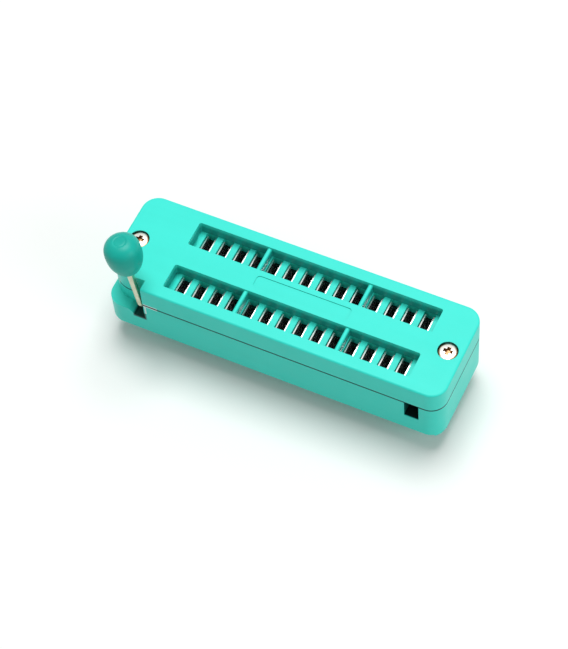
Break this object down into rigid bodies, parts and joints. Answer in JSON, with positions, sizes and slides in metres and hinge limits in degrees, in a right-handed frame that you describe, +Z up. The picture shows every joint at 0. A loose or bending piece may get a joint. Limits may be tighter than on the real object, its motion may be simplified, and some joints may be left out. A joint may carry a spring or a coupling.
{
  "type": "zif socket",
  "caption": "Zero insertion force chip socket: two rows of slots in a moulded cover, a sliding plate over spring contacts with solder tails, and a knobbed cam lever at one corner.",
  "frame": {"origin": "middle of the grid of solder tails, in the plane of the board that the feet stand on", "axes": "+X along the length, away from the lever; +Y across, away from the side that carries the lever's arm; +Z up, away from the board"},
  "size_m": [0.0507, 0.0172, 0.0241],
  "materials": {
    "body_plastic": "moulded teal thermoplastic, satin",
    "cover_plastic": "moulded teal thermoplastic, satin",
    "slider_plastic": "moulded teal thermoplastic, satin",
    "knob_plastic": "moulded teal thermoplastic, glossy",
    "lever_wire": "drawn steel wire, nickel plated",
    "screw_metal": "nickel plated steel",
    "contact_metal": "tin plated spring strip"
  },
  "bodies": {
    "base": {"base": "body_plastic", "cover": "cover_plastic", "screw_lever_end": "screw_metal", "screw_far_end": "screw_metal", "contact_01": "contact_metal", "contact_02": "contact_metal", "contact_03": "contact_metal", "contact_04": "contact_metal", "contact_05": "contact_metal", "contact_06": "contact_metal", "contact_07": "contact_metal", "contact_08": "contact_metal", "contact_09": "contact_metal", "contact_10": "contact_metal", "contact_11": "contact_metal", "contact_12": "contact_metal", "contact_13": "contact_metal", "contact_14": "contact_metal", "contact_15": "contact_metal", "contact_16": "contact_metal", "contact_17": "contact_metal", "contact_18": "contact_metal", "contact_19": "contact_metal", "contact_20": "contact_metal", "contact_21": "contact_metal", "contact_22": "contact_metal", "contact_23": "contact_metal", "contact_24": "contact_metal", "contact_25": "contact_metal", "contact_26": "contact_metal", "contact_27": "contact_metal", "contact_28": "contact_metal"},
    "slider": {"slider": "slider_plastic"},
    "lever": {"lever_wire": "lever_wire", "lever_knob": "knob_plastic"}
  },
  "joints": [
    {"name": "lever_swing", "type": "hinge", "parent": "base", "child": "lever", "pos_m": [-0.02172, 0, 0.00545], "axis": [0, -1, 0], "range_deg": [0, 83]},
    {"name": "slider_travel", "type": "slide", "parent": "base", "child": "slider", "axis": [-1, 0, 0], "range_m": [0, 0.0009], "deforming": ["contact_01", "contact_02", "contact_03", "contact_04", "contact_05", "contact_06", "contact_07", "contact_08", "contact_09", "contact_10", "contact_11", "contact_12", "contact_13", "contact_14", "contact_15", "contact_16", "contact_17", "contact_18", "contact_19", "contact_20", "contact_21", "contact_22", "contact_23", "contact_24", "contact_25", "contact_26", "contact_27", "contact_28"]}
  ],
  "couplings": [
    {"joint": "lever_swing", "follows": "slider_travel", "rad_per_m": 1609.6}
  ]
}
